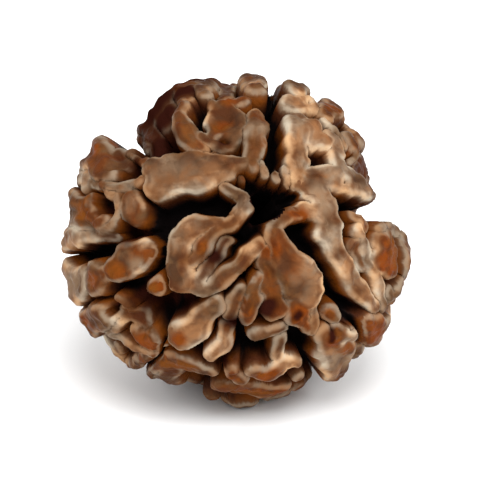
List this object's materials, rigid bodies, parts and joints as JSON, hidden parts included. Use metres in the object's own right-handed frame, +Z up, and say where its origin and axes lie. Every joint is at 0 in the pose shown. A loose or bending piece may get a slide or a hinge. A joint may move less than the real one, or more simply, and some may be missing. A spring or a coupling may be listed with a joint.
{
  "type": "three mukhi rudraksha bead",
  "caption": "Rudraksha seed bead with deep natural clefts, a lobed and grooved surface and a natural hole for a thread, lying on a small flat spot.",
  "frame": {"origin": "centre of the bounding box on the surface that the bead rests on", "axes": "+Z up as it lies, -Y to the front, where the seen hole mouth faces and looks up, +X to the right of that view"},
  "size_m": [0.0174, 0.016, 0.0157],
  "materials": {
    "seed_wood": "satin"
  },
  "bodies": {
    "root": {"bead": "seed_wood"}
  },
  "joints": []
}
